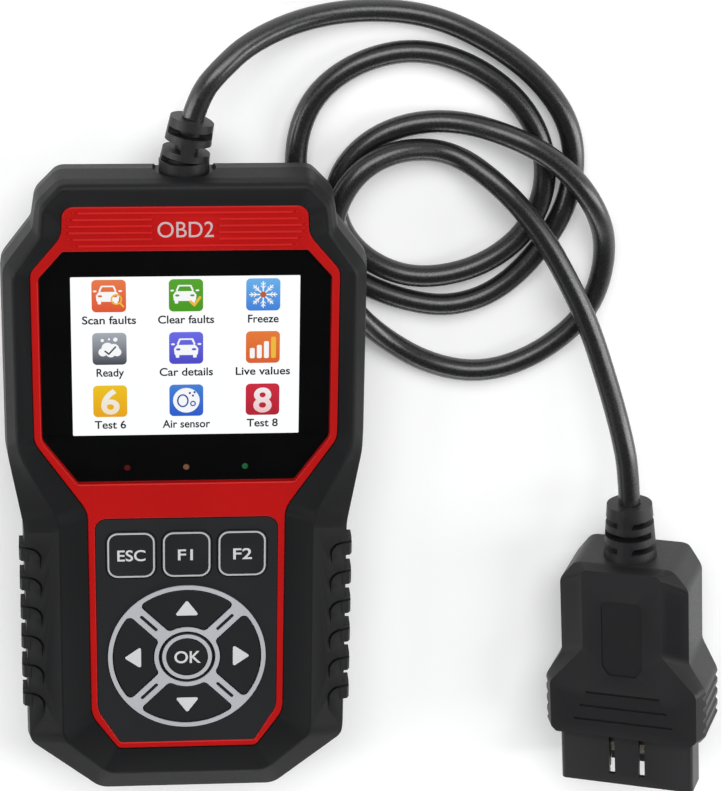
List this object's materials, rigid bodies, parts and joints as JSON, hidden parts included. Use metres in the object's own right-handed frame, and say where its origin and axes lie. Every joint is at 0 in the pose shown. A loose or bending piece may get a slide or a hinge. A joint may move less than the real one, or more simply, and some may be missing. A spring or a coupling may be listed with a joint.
{
  "type": "obd code reader",
  "caption": "Handheld vehicle code reader: colour display, round arrow pad and soft keys, on a lead that ends in a diagnostic plug.",
  "frame": {"origin": "centre of the case's outline, on the plane its back rests on", "axes": "+Y from the keypad to the display and the cable's exit, +Z out of the front, +X to the right as the screen is read"},
  "size_m": [0.1933, 0.2183, 0.0336],
  "materials": {
    "case_black": "fine matt texture",
    "back_black": "fine matt texture",
    "label_grey": "satin",
    "screw_steel": "satin",
    "bezel_red": "satin gloss",
    "lens_clear": "gloss",
    "mask_black": "matt",
    "lcd_white": "smooth",
    "backlight_white": "matt",
    "flex_amber": "satin",
    "led_red": "clear dome",
    "led_amber": "clear dome",
    "led_green": "clear dome",
    "keypad_grey": "matt",
    "trim_silver": "satin print",
    "key_rubber": "matt",
    "board_green": "satin",
    "switch_steel": "satin",
    "chip_black": "matt",
    "buzzer_black": "matt",
    "header_white": "satin",
    "wire_mixed": "smooth",
    "lead_black": "satin",
    "clamp_steel": "satin",
    "cable_black": "satin",
    "gland_black": "matt",
    "plug_black": "fine matt texture",
    "shroud_black": "satin",
    "core_black": "satin",
    "pin_metal": "bright plated"
  },
  "bodies": {
    "scanner": {"front_shell": "case_black", "back_shell": "back_black", "back_label": "label_grey", "case_screws": "screw_steel", "red_bezel": "bezel_red", "display_lens": "lens_clear", "display_mask": "mask_black", "lcd_panel": "lcd_white", "lcd_backlight": "backlight_white", "lcd_flex": "flex_amber", "led_red": "led_red", "led_amber": "led_amber", "led_green": "led_green", "keypad_panel": "keypad_grey", "nav_trim": "trim_silver", "main_board": "board_green", "key_switches": "switch_steel", "board_chips": "chip_black", "buzzer": "buzzer_black", "board_screws": "screw_steel", "cable_header": "header_white", "crimp_housing": "header_white", "inner_wires": "wire_mixed", "inner_lead": "lead_black", "cable_clamp": "clamp_steel", "clamp_screws": "screw_steel", "cable": "cable_black", "gland": "gland_black", "plug_front_shell": "plug_black", "plug_back_shell": "plug_black", "plug_shroud": "shroud_black", "plug_core": "core_black", "plug_pins": "pin_metal", "plug_strain_relief": "gland_black"},
    "key_esc": {"key_esc": "key_rubber"},
    "key_f1": {"key_f1": "key_rubber"},
    "key_f2": {"key_f2": "key_rubber"},
    "key_ok": {"key_ok": "key_rubber", "ok_ring": "trim_silver"},
    "key_up": {"key_up": "key_rubber"},
    "key_left": {"key_left": "key_rubber"},
    "key_down": {"key_down": "key_rubber"},
    "key_right": {"key_right": "key_rubber"}
  },
  "joints": [
    {"name": "key_esc_press", "type": "slide", "parent": "scanner", "child": "key_esc", "axis": [0, 0, -1], "range_m": [0, 0.0005], "stiffness_N_per_m": 900},
    {"name": "key_f1_press", "type": "slide", "parent": "scanner", "child": "key_f1", "axis": [0, 0, -1], "range_m": [0, 0.0005], "stiffness_N_per_m": 900},
    {"name": "key_f2_press", "type": "slide", "parent": "scanner", "child": "key_f2", "axis": [0, 0, -1], "range_m": [0, 0.0005], "stiffness_N_per_m": 900},
    {"name": "key_ok_press", "type": "slide", "parent": "scanner", "child": "key_ok", "axis": [0, 0, -1], "range_m": [0, 0.0005], "stiffness_N_per_m": 900},
    {"name": "key_up_press", "type": "slide", "parent": "scanner", "child": "key_up", "axis": [0, 0, -1], "range_m": [0, 0.0005], "stiffness_N_per_m": 900},
    {"name": "key_left_press", "type": "slide", "parent": "scanner", "child": "key_left", "axis": [0, 0, -1], "range_m": [0, 0.0005], "stiffness_N_per_m": 900},
    {"name": "key_down_press", "type": "slide", "parent": "scanner", "child": "key_down", "axis": [0, 0, -1], "range_m": [0, 0.0005], "stiffness_N_per_m": 900},
    {"name": "key_right_press", "type": "slide", "parent": "scanner", "child": "key_right", "axis": [0, 0, -1], "range_m": [0, 0.0005], "stiffness_N_per_m": 900}
  ]
}
